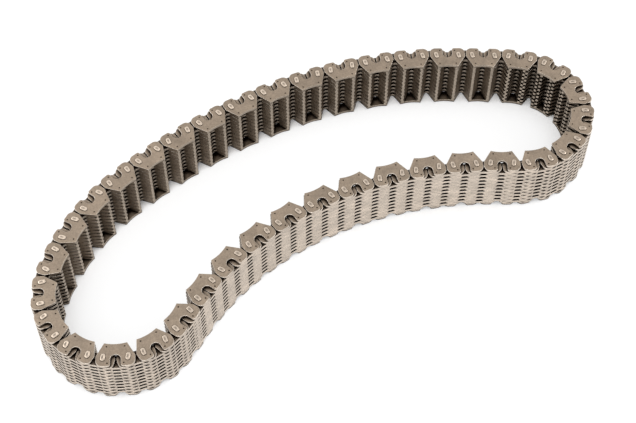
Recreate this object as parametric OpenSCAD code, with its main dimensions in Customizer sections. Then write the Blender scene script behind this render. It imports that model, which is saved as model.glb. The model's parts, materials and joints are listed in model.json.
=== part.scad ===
// Silent chain: a closed loop of toothed link plates laced over two-piece rocker pins.
// The loop lies on its side. X is its long way, the pins stand along Z, and the origin
// is the bottom centre of its box. Every row of plates is one pitch long: guide rows carry
// two outer guide plates, inner rows sit between them.

/* [Chain] */
// Distance between neighbouring pin joints
pitch = 9.525; // [9.2:0.005:12]
// Guide links in the loop, each followed by one inner link
guide_links = 37; // [30:1:50]
// Toothed plates between the two guide plates of a guide link
guide_row_plates = 9; // [3:1:11]
// Thickness of every plate
plate_t = 1.47; // [1:0.01:2.2]
// Side play between neighbouring plates
side_play = 0.03; // [0.02:0.01:0.2]

/* [Toothed plate] */
// Gap between the ends of following plates in one layer
end_gap = 0.55; // [0.5:0.05:0.7]
// Height of the tooth tips over the pin line
tooth_h = 7.4; // [7:0.1:8]
// Slope of the tooth flanks, measured from upright
flank_angle = 30; // [28:0.5:31]
// Width of the flat on each tooth tip
tip_w = 1.2; // [0.8:0.1:1.4]
// Height of the crotch between the teeth over the pin line
crotch_h = 2.1; // [1.6:0.1:2.6]
// Depth of the back edge below the pin line
back_h = 4.7; // [4.4:0.1:5]
// Radius of the two back corners
back_r = 3; // [2.2:0.1:3.2]
// Depth of the shallow waist in the back edge
waist_sag = 0.25; // [0.2:0.05:0.6]

/* [Guide plate] */
// Depth of the hollow in the front edge
front_sag = 0.7; // [0.4:0.1:1.2]
// Radius of the arch at the top of the notch, and half the notch's width
notch_r = 2.5; // [2:0.1:2.8]
// Height of the notch over the pin line
notch_h = 1.3; // [0.6:0.1:1.6]
// Radius of the lips where the notch meets the back edge
lip_r = 1.2; // [0.6:0.1:1.4]
// Diameter of the punch marks at the face
mark_d = 0.9; // [0.5:0.1:1.2]
// Depth of the punch marks
mark_depth = 0.4; // [0.1:0.05:0.6]
// Inset of the front marks from the front corner, along the chain
mark_front_inset = 1.1; // [1:0.1:1.6]
// Drop of the front marks below the tooth tips
mark_front_drop = 1.9; // [1.6:0.1:2.4]
// Inset of the back marks from the side of the notch
mark_back_inset = 1.4; // [1.1:0.1:1.6]
// Rise of the back marks over the back edge
mark_back_rise = 1.55; // [1.2:0.05:2]

/* [Rocker pin] */
// Thickness of a pin along the chain
pin_t = 2.1; // [1.7:0.05:2.3]
// Height of a pin across the chain
pin_h = 3.8; // [3.2:0.1:4]
// Radius of the face that rolls on the other pin
rocker_r = 2.6; // [2.4:0.1:3]
// Radius of the face that seats in the pin's own plates
seat_r = 3.5; // [2.8:0.1:5]
// Gap between the two rolling faces of a straight joint
rocking_gap = 0.16; // [0.14:0.01:0.2]
// Gap between a pin and its own plates
pin_fit = 0.02; // [0.02:0.01:0.05]
// Room round the other row's pin as the joint bends
swing_clear = 0.17; // [0.1:0.01:0.25]
// Height of the long pin's headed ends over the guide plates
pin_proud = 0.3; // [0.1:0.05:0.6]
// Diameter of the staking punch at the face of those ends
stake_d = 1.2; // [0.6:0.1:1.4]
// Depth of the staking punch
stake_depth = 0.35; // [0.1:0.05:0.5]

/* [Lay of the loop] */
// Share of the loop's pitches in the long outer strand
outer_strand_share = 0.27; // [0.25:0.001:0.29]
// Bend per joint of that strand, relative to the other stretches
outer_strand_bend = 2.1; // [1.5:0.1:2.5]
// Share of the loop's pitches in the shoulder before the left turn
left_shoulder_share = 0.095; // [0.08:0.001:0.11]
// Relative bend per joint of that shoulder
left_shoulder_bend = 5.4; // [4:0.1:6]
// Share of the loop's pitches in the left turn
left_turn_share = 0.149; // [0.14:0.001:0.16]
// Relative bend per joint of the left turn
left_turn_bend = 16; // [15:0.1:17]
// Share of the loop's pitches in the inner strand, which bows into the loop
inner_strand_share = 0.284; // [0.26:0.001:0.3]
// Relative bend per joint of the inner strand
inner_strand_bend = -3.2; // [-3.6:0.1:-2]
// Share of the loop's pitches in the right turn
right_turn_share = 0.149; // [0.14:0.001:0.16]
// Relative bend per joint of the right turn
right_turn_bend = 15.4; // [14.4:0.1:16.4]
// Relative bend per joint of the short run that closes the loop
closing_run_bend = 0.3; // [0:0.1:2]
// Direction of the first guide link, anticlockwise from X
first_heading = 150.5; // [140:0.5:160]

/* [Hidden] */
$fn = 48;
wide_arc_fn = 240;
steel = "#9b9285";
dark_steel = "#7f776c";
bright_steel = "#c9c2b8";
cut_past = 0.5;
// Overcut of the rounds in crotch and notch, so that they cross the straight edges instead of touching them
round_overcut = 0.02;

// Rows, layers and the bodies that the rows are gathered in
rows = 2 * guide_links;
most_links = 60;
links = min(rows, most_links);
layers = 2 * guide_row_plates + 3;
layer_step = plate_t + side_play;
chain_w = layers * layer_step - side_play + 2 * pin_proud;
function layer_z(i) = pin_proud + i * layer_step;
function rows_of(link) = [for (k = [0 : rows - 1]) if (floor(k * links / rows) == link) k];
function is_guide(row) = row % 2 == 0;

// Plate outline: x along the chain, y towards the teeth, joints at half a pitch either side.
// The teeth of neighbouring rows lie flush: one row's outer flank is in line with the next row's inner one
joint_x = pitch / 2;
end_x = pitch - end_gap / 2;
corner_x = (pitch + tip_w) / 2;
tip_x = corner_x - tip_w;
flank_y = tooth_h - (end_x - corner_x) / tan(flank_angle);
crotch_r = (tip_x * cos(flank_angle) - (tooth_h - crotch_h) * sin(flank_angle)) / (1 - sin(flank_angle));
crotch_y = crotch_h + crotch_r;
crotch_tan = [crotch_r * cos(flank_angle), crotch_y - crotch_r * sin(flank_angle)];
function arc_r(half_chord, sag) = (pow(half_chord, 2) + pow(sag, 2)) / (2 * sag);
waist_r = arc_r(end_x - back_r + cut_past, waist_sag);
front_r = arc_r(corner_x, front_sag);
mark_points = [
    [corner_x - mark_front_inset, tooth_h - mark_front_drop],
    [notch_r + mark_back_inset, mark_back_rise - back_h]
];

// Pin section: its rolling face stands half the rocking gap from the joint, on the outer side
pin_near = rocking_gap / 2;
pin_far = pin_near + pin_t;
pin_corner_x = pin_far - seat_r + sqrt(pow(seat_r, 2) - pow(pin_h / 2, 2));
pin_mid_x = joint_x + (pin_near + pin_far) / 2;
swing_r = max(pin_far, norm([pin_corner_x, pin_h / 2])) + swing_clear;

// Lay: the bend at each joint, evened over three joints, scaled to one full turn and trimmed
// by one wave round the loop so that the last row meets the first
stretch_shares = [
    outer_strand_share, left_shoulder_share, left_turn_share, inner_strand_share, right_turn_share
];
stretch_bends = [
    outer_strand_bend, left_shoulder_bend, left_turn_bend, inner_strand_bend, right_turn_bend,
    closing_run_bend
];
function total(v) = v * [for (x = v) 1];
function stretch(u, i = 0) =
    i == len(stretch_shares) || u < stretch_shares[i] ? i : stretch(u - stretch_shares[i], i + 1);
raw_bends = [for (k = [0 : rows - 1]) stretch_bends[stretch((k + 0.5) / rows)]];
even_bends = [for (k = [0 : rows - 1])
    (raw_bends[(k + rows - 1) % rows] + raw_bends[k] + raw_bends[(k + 1) % rows]) / 3];
full_turn = 360 / total(even_bends);
function bend(k, wave) =
    even_bends[k] * full_turn + wave[0] * cos(360 * k / rows) + wave[1] * sin(360 * k / rows);
function headings(wave) =
    [for (k = 0, h = first_heading; k < rows; h = h + bend(k, wave), k = k + 1) h];
function loop_end(wave) =
    let (h = headings(wave)) [total([for (a = h) cos(a)]), total([for (a = h) sin(a)])];
wave_step = 0.001;
wave_passes = 6;
function closing_wave(wave, passes) =
    passes == 0 ? wave :
    let (
        at = loop_end(wave),
        by_cos = (loop_end(wave + [wave_step, 0]) - at) / wave_step,
        by_sin = (loop_end(wave + [0, wave_step]) - at) / wave_step,
        fix = [at[0] * by_sin[1] - by_sin[0] * at[1], by_cos[0] * at[1] - at[0] * by_cos[1]]
    )
    closing_wave(wave - fix / (by_cos[0] * by_sin[1] - by_sin[0] * by_cos[1]), passes - 1);
row_heading = headings(closing_wave([0, 0], wave_passes));
function row_step(k) = pitch * [cos(row_heading[k % rows]), sin(row_heading[k % rows])];
joints = [for (k = 0, p = row_step(0); k < rows; p = p + row_step(k + 1), k = k + 1) p];
joint_xs = [for (p = joints) p[0]];
joint_ys = [for (p = joints) p[1]];
loop_mid = [min(joint_xs) + max(joint_xs), min(joint_ys) + max(joint_ys)] / 2;
row_mid = [for (k = [0 : rows - 1]) joints[k] - row_step(k) / 2 - loop_mid];

function two_digits(n) = str(n < 10 ? "0" : "", n);
function link_name(link) =
    let (
        own = rows_of(link),
        kind = len(own) > 1 ? "link_pair_" : is_guide(own[0]) ? "guide_link_" : "inner_link_"
    )
    str(kind, two_digits(link + 1));

module both_ends() {
    children();
    mirror([1, 0]) children();
}

// Disc whose round carries its face on the side away from the joint
module seat_disc(grow) {
    translate([pin_far - seat_r, 0]) rotate(180) circle(seat_r + grow);
}

// Section of one rocker pin at the right-hand joint, grown by a fit gap
module pin_section(grow = 0) {
    translate([joint_x, 0]) intersection() {
        translate([pin_near + rocker_r, 0]) circle(rocker_r + grow);
        seat_disc(grow);
        translate([0, -pin_h / 2 - grow]) square([pin_far + grow, pin_h + 2 * grow]);
    }
}

// Opening of a toothed plate at one joint: a seat for its own pin, a round swing for the other
module joint_opening() {
    translate([joint_x, 0]) intersection() {
        circle(swing_r);
        seat_disc(pin_fit);
    }
}

// Straight back with round corners, upright ends and straight flanks that all plates share
module plate_blank() {
    round_at = [end_x - back_r, back_r - back_h];
    both_ends() translate(round_at) rotate(180) circle(back_r);
    polygon([
        [-round_at[0], -back_h], [round_at[0], -back_h], [end_x, round_at[1]], [end_x, flank_y],
        [corner_x, tooth_h], [-corner_x, tooth_h], [-end_x, flank_y], [-end_x, round_at[1]]
    ]);
}

// Gap between the two teeth, with a round bottom that runs into the straight inner flanks
module crotch() {
    mouth_x = tip_x + cut_past * tan(flank_angle);
    translate([0, crotch_y]) circle(crotch_r + round_overcut);
    polygon([
        [-crotch_tan[0], crotch_tan[1]], crotch_tan,
        [mouth_x, tooth_h + cut_past], [-mouth_x, tooth_h + cut_past]
    ]);
}

// Shallow hollow along the back edge that runs out into the round corners
module waist() {
    translate([0, waist_sag - back_h - waist_r]) rotate(-90) circle(waist_r, $fn = wide_arc_fn);
}

module toothed_plate() {
    linear_extrude(plate_t) difference() {
        plate_blank();
        crotch();
        waist();
        both_ends() joint_opening();
    }
}

// Slot with an arched top and round lips at the back edge
module notch() {
    arch_y = notch_h - notch_r;
    mouth_y = -back_h - cut_past;
    translate([0, arch_y]) rotate(-90) circle(notch_r);
    translate([-notch_r, mouth_y]) square([2 * notch_r, arch_y - mouth_y]);
    both_ends() difference() {
        translate([notch_r, mouth_y]) square([lip_r, lip_r + cut_past]);
        translate([notch_r + lip_r, lip_r - back_h]) circle(lip_r + round_overcut);
    }
}

// Conical punch mark below z = 0, with its cone run on past the face
module punch(d, depth) {
    run = (depth + cut_past) / depth;
    translate([0, 0, -depth]) cylinder(d1 = 0, d2 = d * run, h = depth * run);
}

// Outer plate with the face side up at z = plate_t
module guide_plate() {
    difference() {
        linear_extrude(plate_t) difference() {
            plate_blank();
            translate([0, tooth_h - front_sag + front_r]) circle(front_r, $fn = wide_arc_fn);
            notch();
            both_ends() pin_section(pin_fit);
        }
        for (p = mark_points) both_ends()
            translate([p[0], p[1], plate_t]) punch(mark_d, mark_depth);
    }
}

module rocker_pin(from, to) {
    translate([0, 0, from]) linear_extrude(to - from) pin_section();
}

// Pin that runs right through the guide plates, with a staking punch in each end
module long_pin() {
    difference() {
        rocker_pin(0, chain_w);
        translate([pin_mid_x, 0, chain_w]) punch(stake_d, stake_depth);
        translate([pin_mid_x, 0, 0]) mirror([0, 0, 1]) punch(stake_d, stake_depth);
    }
}

module guide_row() {
    color(steel) {
        translate([0, 0, layer_z(layers - 1)]) guide_plate();
        translate([0, 0, layer_z(0) + plate_t]) mirror([0, 0, 1]) guide_plate();
    }
    color(dark_steel) for (i = [2 : 2 : layers - 3]) translate([0, 0, layer_z(i)]) toothed_plate();
    color(bright_steel) both_ends() long_pin();
}

module inner_row() {
    color(dark_steel) for (i = [1 : 2 : layers - 2]) translate([0, 0, layer_z(i)]) toothed_plate();
    color(bright_steel) both_ends() rocker_pin(layer_z(1), layer_z(layers - 2) + plate_t);
}

// One link of the loop: a single row, or two rows that share a body
module link(number) {
    for (k = rows_of(number))
        translate(row_mid[k]) rotate(row_heading[k])
            if (is_guide(k)) guide_row(); else inner_row();
}

for (number = [0 : links - 1])
    link(number);
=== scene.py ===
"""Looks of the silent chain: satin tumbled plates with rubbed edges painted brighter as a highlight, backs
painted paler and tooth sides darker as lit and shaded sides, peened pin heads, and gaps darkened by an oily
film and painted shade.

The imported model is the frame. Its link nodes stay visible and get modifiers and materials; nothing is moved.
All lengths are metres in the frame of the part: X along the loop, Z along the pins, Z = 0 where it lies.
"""
import json
import math

import bpy
import numpy as np
from mathutils import Matrix, Vector


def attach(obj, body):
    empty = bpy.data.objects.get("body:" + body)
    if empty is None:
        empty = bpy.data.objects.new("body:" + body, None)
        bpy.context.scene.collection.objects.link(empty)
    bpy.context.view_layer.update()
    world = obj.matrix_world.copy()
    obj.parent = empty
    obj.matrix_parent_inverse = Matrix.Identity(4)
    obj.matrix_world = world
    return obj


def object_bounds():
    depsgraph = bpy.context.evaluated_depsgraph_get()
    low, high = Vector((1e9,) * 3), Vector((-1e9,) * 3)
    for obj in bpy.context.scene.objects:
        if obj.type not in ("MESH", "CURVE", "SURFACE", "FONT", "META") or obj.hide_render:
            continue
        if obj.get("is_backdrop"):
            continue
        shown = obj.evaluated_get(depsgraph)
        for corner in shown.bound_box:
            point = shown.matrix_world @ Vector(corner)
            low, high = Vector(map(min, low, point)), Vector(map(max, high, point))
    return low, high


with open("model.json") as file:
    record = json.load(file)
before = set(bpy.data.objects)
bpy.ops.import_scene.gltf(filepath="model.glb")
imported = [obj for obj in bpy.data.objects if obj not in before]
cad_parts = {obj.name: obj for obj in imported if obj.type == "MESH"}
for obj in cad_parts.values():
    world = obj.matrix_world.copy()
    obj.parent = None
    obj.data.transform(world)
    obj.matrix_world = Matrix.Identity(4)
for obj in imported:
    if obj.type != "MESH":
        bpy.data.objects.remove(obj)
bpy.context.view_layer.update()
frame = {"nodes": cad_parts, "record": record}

MM = 0.001

# Outer face of the upper guide plates, and how far a pin end stands out of a guide plate
GUIDE_FACE_Z = 31.77 * MM
PIN_PROUD = 0.3 * MM
# Half the length of the loop's straight part, between the centres of its two turns
TURN_CENTRE_X = 112 * MM

# Rounded edges: their width, the gap that a weld closes, and the angles that count as an edge and as flat
EDGE_ROUND = 0.11 * MM
WELD_GAP = 0.002 * MM
SHARP_ANGLE = math.radians(50)
FLAT_ANGLE = math.radians(0.5)

# Peened heads of the long pins: half width and half height of the outline, how square its corners are, and
# how many corners it has
HEAD_HALF_W, HEAD_HALF_H = 1.2 * MM, 2.05 * MM
HEAD_SQUARENESS = 3.2
HEAD_STEPS = 16
# Profile of a head from its foot to its dish: share of the outline, height over the plate
HEAD_PROFILE = ((1.0, -0.05 * MM), (1.0, 0.15 * MM), (0.93, 0.34 * MM), (0.78, 0.40 * MM), (0.5, 0.36 * MM),
                (0.2, 0.315 * MM), (0.0, 0.31 * MM))
# Share of a pin end's height above which a corner is one of its end face, and digits that tell corners apart
END_FACE_SHARE = 0.9
CORNER_DIGITS = 7
# Digits kept of the outline's sine and cosine, so that their zeros are true zeros
WAVE_DIGITS = 9

# Part of a surface's normal that is upright: where a wall turns into a plate face, and where the slope of a
# punch mark begins and ends
FACE_LEVEL = 0.5, 0.8
PUNCH_STEEP, PUNCH_FLAT = (0.3, 0.45), (0.98, 0.93)
# Part of a wall's normal that points into the loop: where a back turns into a tooth flank, and a flank
# into a tip or crotch
FLANK_TURN, FRONT_TURN = (0.1, 0.3), (0.75, 0.9)
# Powers of the curve through the middle of the loop, and steps that find a point's foot on it
MIDDLE_POWERS = 3
FOOT_STEPS = 2

# Grain of tumbling: scales per metre, the dings' share of its height, and the band of noise that it spreads
SPECKLE_SCALE, MOTTLE_SCALE, DING_SCALE = 1400.0, 160.0, 900.0
DING_SHARE = 0.35
NOISE_BAND = 0.3, 0.7
GRAIN_STRENGTH, GRAIN_DEPTH = 0.25, 0.02 * MM

# Shade of each finish, darkest and brightest, and the spread of shade from plate to plate
FACE_SPECKLE_SHADE, FACE_MOTTLE_SHADE = (0.78, 1.12), (0.84, 1.12)
EDGE_SHADE, HEAD_SHADE = (0.86, 1.08), (0.86, 1.08)
PLATE_SPREAD = 0.12
# Roughness of each finish, smoothest and dullest
FACE_ROUGHNESS, EDGE_ROUGHNESS, HEAD_ROUGHNESS = (0.48, 0.62), (0.22, 0.34), (0.2, 0.34)

# Darkening in a recess, an oily film and painted shade: how far off shelter counts, and the shares of the room
# seen from a surface at which it begins to gather and covers all
OIL_AND_SHADE_REACH = 3 * MM
OIL_AND_SHADE_SHELTER = 0.88, 0.56
# Rays that find how sheltered a point is
SHELTER_RAYS = 8
# Share of the recess darkening, an oily film and painted shade, that stays on a rubbed edge
RUBBED_OIL_AND_SHADE = 0.7
# Darkening on a pin head, an oily film and painted shade, in its dish and at its foot: shares of the outline
# where it begins and is full, and how much of the steel it then covers
DISH_REACH, FOOT_REACH = (0.6, 0.2), (0.86, 0.97)
DISH_OIL_AND_SHADE, FOOT_OIL_AND_SHADE = 0.5, 0.7

# Floor: half its width, its gap under the chain and its roughness
FLOOR_HALF = 4.0
FLOOR_GAP = 0.01 * MM
FLOOR_ROUGHNESS = 0.9
# How far the shade under the chain reaches, the shares of the room seen from the floor in deep shade and in
# the open, and how much of its open part is even white
SHADOW_REACH = 25 * MM
SHADOW_SHELTER = 0.2, 0.7
FLOOR_EVENNESS = 0.8

# Level of the surround for plain surfaces; it is white where it is seen
ROOM_LIGHT = 0.85
# Lamps: place, point looked at, width, depth and power in watts
LAMPS = {
    "key_light": ((-0.75, -0.75, 1.05), (0, 0, 0), 0.9, 0.9, 9),
    "fill_light": ((0.9, -0.2, 0.9), (0, 0, 0), 0.8, 0.8, 6),
    "back_light": ((0.2, 0.88, 0.85), (0.2, 0.05, 0), 1.2, 0.5, 1.6),
    "side_light": ((-0.35, 0.3, 0.5), (-0.1, 0, 0), 0.4, 0.4, 1.1),
}

# Camera of the photograph, fitted to the pin ends
SENSOR_W = 36.0
LENS = 84.72
CLIP_START = 10 * MM
CAMERA_AT = Vector((-211.79, -366.84, 653.42)) * MM
CAMERA_AZIMUTH = math.radians(30.80)
CAMERA_DOWN = math.radians(57.25)
CAMERA_ROLL = math.radians(0.33)


def srgb(red, green, blue):
    """Linear colour, with alpha, of an sRGB colour given from 0 to 255."""
    def linear(level):
        part = level / 255
        return part / 12.92 if part <= 0.04045 else ((part + 0.055) / 1.055) ** 2.4
    return (linear(red), linear(green), linear(blue), 1.0)


# Colours: plate faces; plate backs, painted paler as lit sides; rubbed edges, painted brighter as a highlight;
# pin heads; tooth flanks, tips and crotches, painted darker as shaded sides; oily film and painted shade;
# floor
FACE_STEEL = srgb(143, 129, 114)
LIT_WALL_STEEL = srgb(213, 200, 186)
WORN_AND_HIGHLIT_EDGE_STEEL = srgb(222, 212, 200)
PIN_STEEL = srgb(192, 177, 161)
SHADED_FLANK_STEEL = srgb(134, 120, 105)
SHADED_FRONT_STEEL = srgb(175, 162, 147)
OIL_AND_SHADE_BROWN = srgb(24, 13, 6)
FLOOR_WHITE = srgb(255, 255, 255)


def add(tree, kind, **settings):
    """New node of a kind, with its plain settings."""
    made = tree.nodes.new(kind)
    for name, value in settings.items():
        setattr(made, name, value)
    return made


def plug(tree, socket, value):
    """Links an input to a socket, or sets it to a plain value."""
    if isinstance(value, bpy.types.NodeSocket):
        tree.links.new(value, socket)
    else:
        socket.default_value = value


def feed(tree, target, **inputs):
    """Plugs a node's inputs by name, where an underscore stands for a space."""
    for name, value in inputs.items():
        plug(tree, target.inputs[name.replace("_", " ")], value)
    return target


def math_node(tree, operation, *values):
    """Output of a Math node whose inputs are sockets or numbers."""
    made = add(tree, "ShaderNodeMath", operation=operation)
    for socket, value in zip(made.inputs, values):
        plug(tree, socket, value)
    return made.outputs[0]


def ramp_value(tree, value, low, high, to_low=0.0, to_high=1.0):
    """Output of a clamped Map Range from low..high to to_low..to_high."""
    made = feed(tree, add(tree, "ShaderNodeMapRange", clamp=True), Value=value, From_Min=low, From_Max=high,
                To_Min=to_low, To_Max=to_high)
    return made.outputs["Result"]


def between(tree, share, levels):
    """Output that runs between two levels as a share runs from 0 to 1."""
    return ramp_value(tree, share, 0.0, 1.0, *levels)


def mix_colour(tree, factor, first, second, blend="MIX"):
    """Output of a colour Mix node: first where factor is 0, second where it is 1.

    Names repeat among its sockets, so they go by place: inputs 0 (factor), 6 and 7 (colours), and output 2.
    """
    made = add(tree, "ShaderNodeMix", data_type="RGBA", blend_type=blend)
    for place, value in ((0, factor), (6, first), (7, second)):
        plug(tree, made.inputs[place], value)
    return made.outputs[2]


def new_group(name, inputs, outputs):
    """Empty shader node group with float inputs (name and default) and float outputs."""
    tree = bpy.data.node_groups.new(name, "ShaderNodeTree")
    for label, default in inputs.items():
        socket = tree.interface.new_socket(label, in_out="INPUT", socket_type="NodeSocketFloat")
        socket.default_value = default
    for label in outputs:
        tree.interface.new_socket(label, in_out="OUTPUT", socket_type="NodeSocketFloat")
    return tree, add(tree, "NodeGroupInput").outputs, add(tree, "NodeGroupOutput")


def tumbled_grain_group():
    """Grain of a tumbled surface: fine speckle and broad mottle, each from 0 to 1, and a height for bump."""
    tree, given, result = new_group(
        "tumbled_grain", {"Speckle Scale": SPECKLE_SCALE, "Mottle Scale": MOTTLE_SCALE},
        ("Speckle", "Mottle", "Height"))
    place = add(tree, "ShaderNodeTexCoord").outputs["Object"]
    speckle = feed(tree, add(tree, "ShaderNodeTexNoise"), Vector=place, Scale=given["Speckle Scale"],
                   Detail=4.0, Roughness=0.65).outputs["Fac"]
    mottle = feed(tree, add(tree, "ShaderNodeTexNoise"), Vector=place, Scale=given["Mottle Scale"],
                  Detail=5.0, Roughness=0.6, Distortion=0.4).outputs["Fac"]
    dings = feed(tree, add(tree, "ShaderNodeTexVoronoi"), Vector=place, Scale=DING_SCALE).outputs["Distance"]
    height = math_node(tree, "ADD", speckle, math_node(tree, "MULTIPLY", dings, DING_SHARE))
    feed(tree, result, Speckle=ramp_value(tree, speckle, *NOISE_BAND),
         Mottle=ramp_value(tree, mottle, *NOISE_BAND), Height=height)
    return tree


def plate_zones_group():
    """Masks over a link: plate faces, which lie level, and punch marks, which slope."""
    tree, _, result = new_group("plate_zones", {}, ("Face", "Punch"))
    normal = add(tree, "ShaderNodeTexCoord").outputs["Normal"]
    upright = feed(tree, add(tree, "ShaderNodeSeparateXYZ"), Vector=normal).outputs["Z"]
    tilt = math_node(tree, "ABSOLUTE", upright)
    sloping = math_node(tree, "MULTIPLY", ramp_value(tree, tilt, *PUNCH_STEEP),
                        ramp_value(tree, tilt, *PUNCH_FLAT))
    feed(tree, result, Face=ramp_value(tree, tilt, *FACE_LEVEL), Punch=sloping)
    return tree


def polynomial(tree, powers, value):
    """Output of a row of Multiply Add nodes: the polynomial with these coefficients, highest power first."""
    result = powers[0]
    for coefficient in powers[1:]:
        result = math_node(tree, "MULTIPLY_ADD", result, value, coefficient)
    return result


def loop_middle():
    """Curve through the middle of the loop's inside: least squares over the pin joints of both strands."""
    pins = np.array([joint["pos_m"][:2] for joint in frame["record"]["behaviour"]["joints"]])
    strands = pins[np.abs(pins[:, 0]) < TURN_CENTRE_X]
    return np.polyfit(strands[:, 0], strands[:, 1], MIDDLE_POWERS).tolist()


def tooth_side_group():
    """Masks over a link's walls: flanks, half turned into the loop, and tips and crotches, turned right in.

    Inwards is the way from a point to the nearest point of the loop's middle line, whose foot is found by a
    few steps along the line's tangent, (along + off slope) / (1 + slope squared), held between the turns.
    """
    tree, _, result = new_group("tooth_side", {}, ("Flank", "Front"))
    middle = loop_middle()
    slope_powers = np.polyder(middle).tolist()
    turns = -TURN_CENTRE_X, TURN_CENTRE_X
    coords = add(tree, "ShaderNodeTexCoord").outputs
    at = feed(tree, add(tree, "ShaderNodeSeparateXYZ"), Vector=coords["Object"]).outputs
    foot = ramp_value(tree, at["X"], *turns, *turns)
    for _ in range(FOOT_STEPS):
        slope = polynomial(tree, slope_powers, foot)
        along = math_node(tree, "SUBTRACT", at["X"], foot)
        off = math_node(tree, "SUBTRACT", at["Y"], polynomial(tree, middle, foot))
        step = math_node(tree, "DIVIDE", math_node(tree, "MULTIPLY_ADD", off, slope, along),
                         math_node(tree, "MULTIPLY_ADD", slope, slope, 1.0))
        foot = ramp_value(tree, math_node(tree, "ADD", foot, step), *turns, *turns)
    inwards = feed(tree, add(tree, "ShaderNodeCombineXYZ"), X=math_node(tree, "SUBTRACT", foot, at["X"]),
                   Y=math_node(tree, "SUBTRACT", polynomial(tree, middle, foot), at["Y"]))
    unit = add(tree, "ShaderNodeVectorMath", operation="NORMALIZE")
    tree.links.new(inwards.outputs[0], unit.inputs[0])
    facing = add(tree, "ShaderNodeVectorMath", operation="DOT_PRODUCT")
    tree.links.new(unit.outputs[0], facing.inputs[0])
    tree.links.new(coords["Normal"], facing.inputs[1])
    turned = facing.outputs["Value"]
    front = ramp_value(tree, turned, *FRONT_TURN)
    flank = math_node(tree, "MULTIPLY", ramp_value(tree, turned, *FLANK_TURN),
                      math_node(tree, "SUBTRACT", 1.0, front))
    feed(tree, result, Flank=flank, Front=front)
    return tree


def plate_tint_group():
    """Plate to plate difference of shade, around 1, from a random number for each separate plate or pin."""
    tree, given, result = new_group("plate_tint", {"Spread": PLATE_SPREAD}, ("Tint",))
    draw = add(tree, "ShaderNodeNewGeometry").outputs["Random Per Island"]
    away = math_node(tree, "SUBTRACT", draw, 0.5)
    feed(tree, result, Tint=math_node(tree, "MULTIPLY_ADD", away, given["Spread"], 1.0))
    return tree


def room_seen(tree, reach):
    """Share of the room that can be seen from a surface, where only shelter within a reach counts."""
    shelter = add(tree, "ShaderNodeAmbientOcclusion", samples=SHELTER_RAYS)
    return feed(tree, shelter, Distance=reach).outputs["AO"]


def oily_and_shaded_recess_group():
    """Gaps and crotches darkened by an oily film and painted shade: 0 on open surfaces, rising to 1 where
    little of the room is seen.
    """
    tree, given, result = new_group("oily_and_shaded_recess", {"Reach": OIL_AND_SHADE_REACH}, ("Oil",))
    feed(tree, result, Oil=ramp_value(tree, room_seen(tree, given["Reach"]), *OIL_AND_SHADE_SHELTER))
    return tree


GRAIN, ZONES, TINT = tumbled_grain_group(), plate_zones_group(), plate_tint_group()
RECESS, TOOTH_SIDE = oily_and_shaded_recess_group(), tooth_side_group()


def placed(tree, group, **values):
    """Outputs of a node group that is placed in a material with its own values."""
    made = add(tree, "ShaderNodeGroup", node_tree=group)
    return feed(tree, made, **values).outputs


def new_material(name):
    """Node material, its tree and its Principled shader."""
    made = bpy.data.materials.new(name)
    made.use_nodes = True
    return made, made.node_tree, made.node_tree.nodes["Principled BSDF"]


def link_steel():
    """Plates and pins: warm satin steel, the backs painted paler as lit sides, the tooth flanks and tips
    painted duller as shaded sides, recesses darkened by an oily film and painted shade.
    """
    made, tree, shader = new_material("link_steel")
    grain = placed(tree, GRAIN, Speckle_Scale=SPECKLE_SCALE, Mottle_Scale=MOTTLE_SCALE)
    tint = placed(tree, TINT, Spread=PLATE_SPREAD)
    recess = placed(tree, RECESS, Reach=OIL_AND_SHADE_REACH)
    zones, side = placed(tree, ZONES), placed(tree, TOOTH_SIDE)
    # Painted light: backs paler as lit sides, tooth flanks, tips and crotches darker as shaded sides
    colour = mix_colour(tree, side["Flank"], LIT_WALL_STEEL, SHADED_FLANK_STEEL)
    colour = mix_colour(tree, side["Front"], colour, SHADED_FRONT_STEEL)
    colour = mix_colour(tree, zones["Face"], colour, FACE_STEEL)
    shade = math_node(tree, "MULTIPLY", between(tree, grain["Speckle"], FACE_SPECKLE_SHADE),
                      between(tree, grain["Mottle"], FACE_MOTTLE_SHADE))
    shade = math_node(tree, "MULTIPLY", shade, tint["Tint"])
    colour = mix_colour(tree, 1.0, colour, shade, "MULTIPLY")
    # Recesses and punch marks darkened towards brown: oily film and painted shade
    oil_and_shade = math_node(tree, "MAXIMUM", recess["Oil"], zones["Punch"])
    bump = feed(tree, add(tree, "ShaderNodeBump"), Strength=GRAIN_STRENGTH, Distance=GRAIN_DEPTH,
                Height=grain["Height"])
    feed(tree, shader, Base_Color=mix_colour(tree, oil_and_shade, colour, OIL_AND_SHADE_BROWN), Metallic=1.0,
         Roughness=between(tree, grain["Mottle"], FACE_ROUGHNESS), Normal=bump.outputs["Normal"])
    return made


def worn_and_highlit_edge():
    """Rounded edges: rubbed smoother than the faces, and painted brighter as a highlight."""
    made, tree, shader = new_material("worn_and_highlit_edge")
    grain = placed(tree, GRAIN, Speckle_Scale=SPECKLE_SCALE, Mottle_Scale=MOTTLE_SCALE)
    recess = placed(tree, RECESS, Reach=OIL_AND_SHADE_REACH)
    side = placed(tree, TOOTH_SIDE)
    inner = math_node(tree, "MAXIMUM", side["Flank"], side["Front"])
    # Painted highlight on rubbed edges; edges turned into the loop take the painted shade of the tips
    colour = mix_colour(tree, 1.0, mix_colour(tree, inner, WORN_AND_HIGHLIT_EDGE_STEEL, SHADED_FRONT_STEEL),
                        between(tree, grain["Mottle"], EDGE_SHADE), "MULTIPLY")
    # A share of the recess darkening, oily film and painted shade, stays on rubbed edges
    oil_and_shade = math_node(tree, "MULTIPLY", recess["Oil"], RUBBED_OIL_AND_SHADE)
    feed(tree, shader, Base_Color=mix_colour(tree, oil_and_shade, colour, OIL_AND_SHADE_BROWN), Metallic=1.0,
         Roughness=between(tree, grain["Speckle"], EDGE_ROUGHNESS))
    return made


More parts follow.
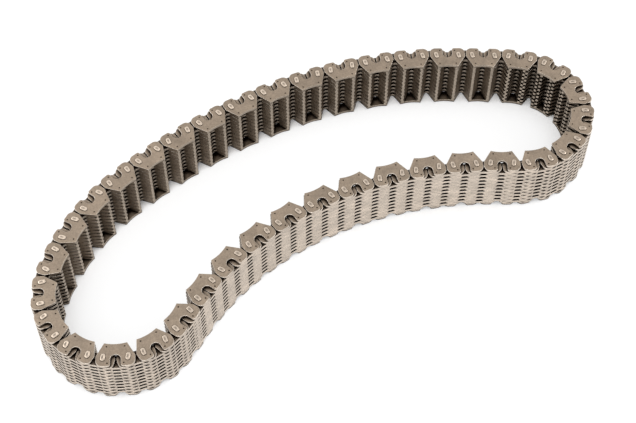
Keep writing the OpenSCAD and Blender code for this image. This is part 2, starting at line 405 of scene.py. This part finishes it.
def peened_steel():
    """Pin heads: bright hammered steel, darkened in the dish and round the foot by an oily film and painted
    shade.
    """
    made, tree, shader = new_material("peened_steel")
    grain = placed(tree, GRAIN, Speckle_Scale=SPECKLE_SCALE, Mottle_Scale=MOTTLE_SCALE)
    tint = placed(tree, TINT, Spread=PLATE_SPREAD)
    recess = placed(tree, RECESS, Reach=OIL_AND_SHADE_REACH)
    share = add(tree, "ShaderNodeAttribute", attribute_name="outline_share").outputs["Fac"]
    shade = math_node(tree, "MULTIPLY", between(tree, grain["Speckle"], HEAD_SHADE), tint["Tint"])
    colour = mix_colour(tree, 1.0, PIN_STEEL, shade, "MULTIPLY")
    # Dish and foot darkened towards brown: oily film and painted shade
    oil_and_shade = math_node(tree, "MAXIMUM", ramp_value(tree, share, *DISH_REACH, 0.0, DISH_OIL_AND_SHADE),
                    ramp_value(tree, share, *FOOT_REACH, 0.0, FOOT_OIL_AND_SHADE))
    oil_and_shade = math_node(tree, "MAXIMUM", recess["Oil"], oil_and_shade)
    feed(tree, shader, Base_Color=mix_colour(tree, oil_and_shade, colour, OIL_AND_SHADE_BROWN), Metallic=1.0,
         Roughness=between(tree, grain["Mottle"], HEAD_ROUGHNESS))
    return made


def put(name, data):
    """New object in the scene, at the origin."""
    made = bpy.data.objects.new(name, data)
    bpy.context.collection.objects.link(made)
    return made


def dress_links(nodes):
    """Links keep their solids: a weld closes the loose triangles, a bevel rounds the edges and gives them a
    painted highlight.
    """
    steel, edge = link_steel(), worn_and_highlit_edge()
    for link in nodes.values():
        link.data.materials.clear()
        link.data.materials.append(steel)
        link.data.materials.append(edge)
        weld = link.modifiers.new("close_triangles", "WELD")
        weld.merge_threshold = WELD_GAP
        faces = link.modifiers.new("join_flat_triangles", "DECIMATE")
        faces.decimate_type = "DISSOLVE"
        faces.angle_limit = FLAT_ANGLE
        bevel = link.modifiers.new("round_edges", "BEVEL")
        bevel.width = EDGE_ROUND
        bevel.segments = 1
        bevel.limit_method = "ANGLE"
        bevel.angle_limit = SHARP_ANGLE
        # The second material is the rubbed edge, painted brighter as a highlight
        bevel.material = 1
        bevel.use_clamp_overlap = False
        normals = link.modifiers.new("even_normals", "WEIGHTED_NORMAL")
        normals.keep_sharp = False


def pin_ends(link):
    """Middle of each pin end of a guide link, and the direction of its long axis.

    The highest corners of the mesh are the end faces of the two pins. They part at the middle of their
    spread, and the two corners of an end that lie farthest apart are the tips of its lens.
    """
    corners = np.empty(3 * len(link.data.vertices))
    link.data.vertices.foreach_get("co", corners)
    corners = corners.reshape(-1, 3)
    top = corners[corners[:, 2] > GUIDE_FACE_Z + END_FACE_SHARE * PIN_PROUD, :2]
    ends = np.unique(top.round(CORNER_DIGITS), axis=0)
    away = ends - (ends.min(axis=0) + ends.max(axis=0)) / 2
    side = away @ np.linalg.svd(away, full_matrices=False)[2][0] > 0
    for end in (ends[side], ends[~side]):
        spans = np.linalg.norm(end[:, None] - end[None], axis=2)
        first, second = np.unravel_index(spans.argmax(), spans.shape)
        tall = (end[second] - end[first]) / spans[first, second]
        across = np.array((-tall[1], tall[0]))
        reach = end @ across
        middle = tall * ((end[first] + end[second]) @ tall / 2) + across * ((reach.min() + reach.max()) / 2)
        yield middle, tall


def head_surface(middle, tall, lower):
    """Corners, quads and outline shares of one head: a superellipse carried over the closed profile.

    A corner is middle + share (a cos^(2/n) across + b sin^(2/n) tall), signs kept, at the profile's height.
    The head at the lower end is the same with its height counted down, and its quads turned to face outwards.
    """
    turn = np.arange(HEAD_STEPS) * (2 * math.pi / HEAD_STEPS)
    wide, high = (np.sign(wave) * np.abs(wave).round(WAVE_DIGITS) ** (2 / HEAD_SQUARENESS)
                  for wave in (np.cos(turn), np.sin(turn)))
    across = np.array((-tall[1], tall[0]))
    outline = HEAD_HALF_W * wide[:, None] * across + HEAD_HALF_H * high[:, None] * tall
    share, height = np.array(((0.0, HEAD_PROFILE[0][1]),) + HEAD_PROFILE).T
    level = PIN_PROUD - height if lower else GUIDE_FACE_Z + height
    corners = np.empty((len(share), HEAD_STEPS, 3))
    corners[..., :2] = middle + share[:, None, None] * outline
    corners[..., 2] = level[:, None]
    ring, step = np.meshgrid(np.arange(len(share) - 1), np.arange(HEAD_STEPS), indexing="ij")
    after = (step + 1) % HEAD_STEPS
    quads = np.stack((ring * HEAD_STEPS + step, ring * HEAD_STEPS + after, (ring + 1) * HEAD_STEPS + after,
                      (ring + 1) * HEAD_STEPS + step), axis=-1).reshape(-1, 4)
    return corners.reshape(-1, 3), quads[:, ::-1] if lower else quads, np.repeat(share, HEAD_STEPS)


def peen_pins(nodes):
    """Heads on both ends of the two long pins of every row that has guide plates, one piece for each row."""
    steel = peened_steel()
    for name, link in nodes.items():
        if name.startswith("inner_link"):
            continue
        heads = [head_surface(middle, tall, lower)
                 for middle, tall in pin_ends(link) for lower in (False, True)]
        corners, quads, shares = zip(*heads)
        quads = [head + len(corners[0]) * place for place, head in enumerate(quads)]
        mesh = bpy.data.meshes.new("pin_heads_" + name[-2:])
        mesh.from_pydata(np.concatenate(corners), [], np.concatenate(quads).tolist())
        share = mesh.attributes.new("outline_share", "FLOAT", "POINT")
        share.data.foreach_set("value", np.concatenate(shares))
        mesh.polygons.foreach_set("use_smooth", np.ones(len(mesh.polygons), dtype=bool))
        mesh.materials.append(steel)
        piece = put(mesh.name, mesh)
        poles = piece.modifiers.new("close_poles", "WELD")
        poles.merge_threshold = WELD_GAP
        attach(piece, name)


def seen_rays(tree):
    """1 for the rays that show a background as it is: those of the camera, of mirrors and of glass."""
    path = add(tree, "ShaderNodeLightPath").outputs
    seen = math_node(tree, "MAXIMUM", path["Is Camera Ray"], path["Is Glossy Ray"])
    return math_node(tree, "MAXIMUM", seen, path["Is Transmission Ray"])


def seen_white(tree, plain, share):
    """Shader of which a share is even white to the rays that show a background, and plain to the others."""
    glow = feed(tree, add(tree, "ShaderNodeEmission"), Color=FLOOR_WHITE, Strength=1.0)
    both = add(tree, "ShaderNodeMixShader")
    tree.links.new(math_node(tree, "MULTIPLY", seen_rays(tree), share), both.inputs[0])
    tree.links.new(plain, both.inputs[1])
    tree.links.new(glow.outputs[0], both.inputs[2])
    return both.outputs[0]


def floor():
    """Pale sheet under the chain, wide enough to fill every view, that keeps the chain's shade."""
    mesh = bpy.data.meshes.new("floor")
    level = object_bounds()[0][2] - FLOOR_GAP
    mesh.from_pydata([(-FLOOR_HALF, -FLOOR_HALF, level), (FLOOR_HALF, -FLOOR_HALF, level),
                      (FLOOR_HALF, FLOOR_HALF, level), (-FLOOR_HALF, FLOOR_HALF, level)], [], [(0, 1, 2, 3)])
    made, tree, shader = new_material("floor_white")
    feed(tree, shader, Base_Color=FLOOR_WHITE, Roughness=FLOOR_ROUGHNESS)
    white = ramp_value(tree, room_seen(tree, SHADOW_REACH), *SHADOW_SHELTER, 0.0, FLOOR_EVENNESS)
    feed(tree, tree.nodes["Material Output"], Surface=seen_white(tree, shader.outputs[0], white))
    mesh.materials.append(made)
    sheet = put("floor", mesh)
    sheet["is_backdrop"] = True


def world_light():
    """Even studio surround: white where it is seen, a softer level to plain surfaces such as the floor."""
    world = bpy.data.worlds.new("studio")
    bpy.context.scene.world = world
    world.use_nodes = True
    tree = world.node_tree
    level = between(tree, seen_rays(tree), (ROOM_LIGHT, 1.0))
    feed(tree, tree.nodes["Background"], Color=FLOOR_WHITE, Strength=level)


def soft_lamp(name, at, aim, width, depth, power):
    """Soft light, wide and deep as given, that looks from one place to another."""
    data = bpy.data.lights.new(name, "AREA")
    data.shape = "RECTANGLE"
    data.size, data.size_y = width, depth
    data.energy = power
    look = (Vector(aim) - Vector(at)).to_track_quat("-Z", "Y").to_matrix()
    put(name, data).matrix_world = Matrix.Translation(at) @ look.to_4x4()


def photo_camera():
    """Camera of the photograph: its place, its direction from azimuth and dip, and a small roll."""
    data = bpy.data.cameras.new("photo_camera")
    data.sensor_fit = "HORIZONTAL"
    data.sensor_width = SENSOR_W
    data.lens = LENS
    data.clip_start = CLIP_START
    ahead = Vector((math.sin(CAMERA_AZIMUTH) * math.cos(CAMERA_DOWN),
                    math.cos(CAMERA_AZIMUTH) * math.cos(CAMERA_DOWN), -math.sin(CAMERA_DOWN)))
    level = Vector((math.cos(CAMERA_AZIMUTH), -math.sin(CAMERA_AZIMUTH), 0))
    above = level.cross(ahead)
    right = level * math.cos(CAMERA_ROLL) + above * math.sin(CAMERA_ROLL)
    up = above * math.cos(CAMERA_ROLL) - level * math.sin(CAMERA_ROLL)
    turn = Matrix((right, up, -ahead)).transposed()
    camera = put("photo_camera", data)
    camera.matrix_world = Matrix.Translation(CAMERA_AT) @ turn.to_4x4()
    bpy.context.scene.camera = camera


photo_camera()
dress_links(frame["nodes"])
peen_pins(frame["nodes"])
floor()
world_light()
for lamp_name, lamp_setting in LAMPS.items():
    soft_lamp(lamp_name, *lamp_setting)
bpy.context.scene.view_settings.view_transform = "Standard"
